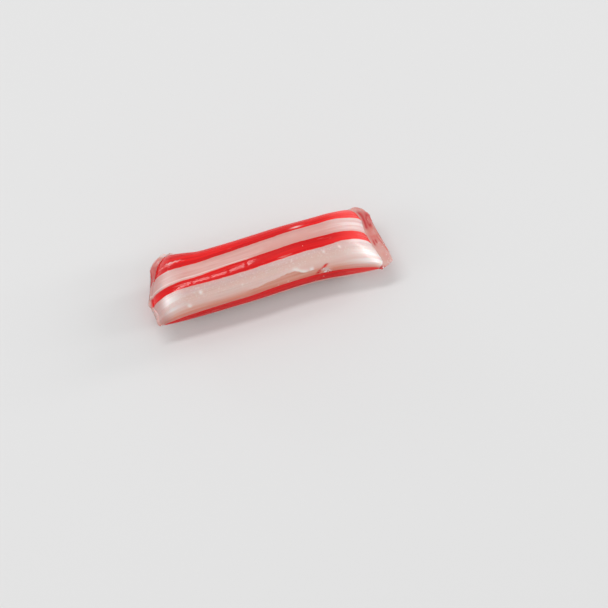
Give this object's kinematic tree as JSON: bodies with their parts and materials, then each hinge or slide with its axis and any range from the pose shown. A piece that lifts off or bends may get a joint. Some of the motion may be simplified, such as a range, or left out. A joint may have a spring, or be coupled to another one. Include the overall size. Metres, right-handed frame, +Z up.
{
  "type": "mint straw",
  "caption": "Short stick of striped pulled sugar, a soft rounded square in section, spread and pinched to a thin snapped edge at both ends.",
  "frame": {"origin": "on the surface the sweet lies on, under the middle of its bounding box", "axes": "+X along the stick towards the end with the longer snapped edge, +Y across it to the back, +Z up"},
  "size_m": [0.04, 0.0136, 0.0088],
  "materials": {
    "pulled_sugar": "gloss, white satin sugar with bright red lengthwise stripes"
  },
  "bodies": {
    "root": {"mint_straw": "pulled_sugar"}
  },
  "joints": []
}
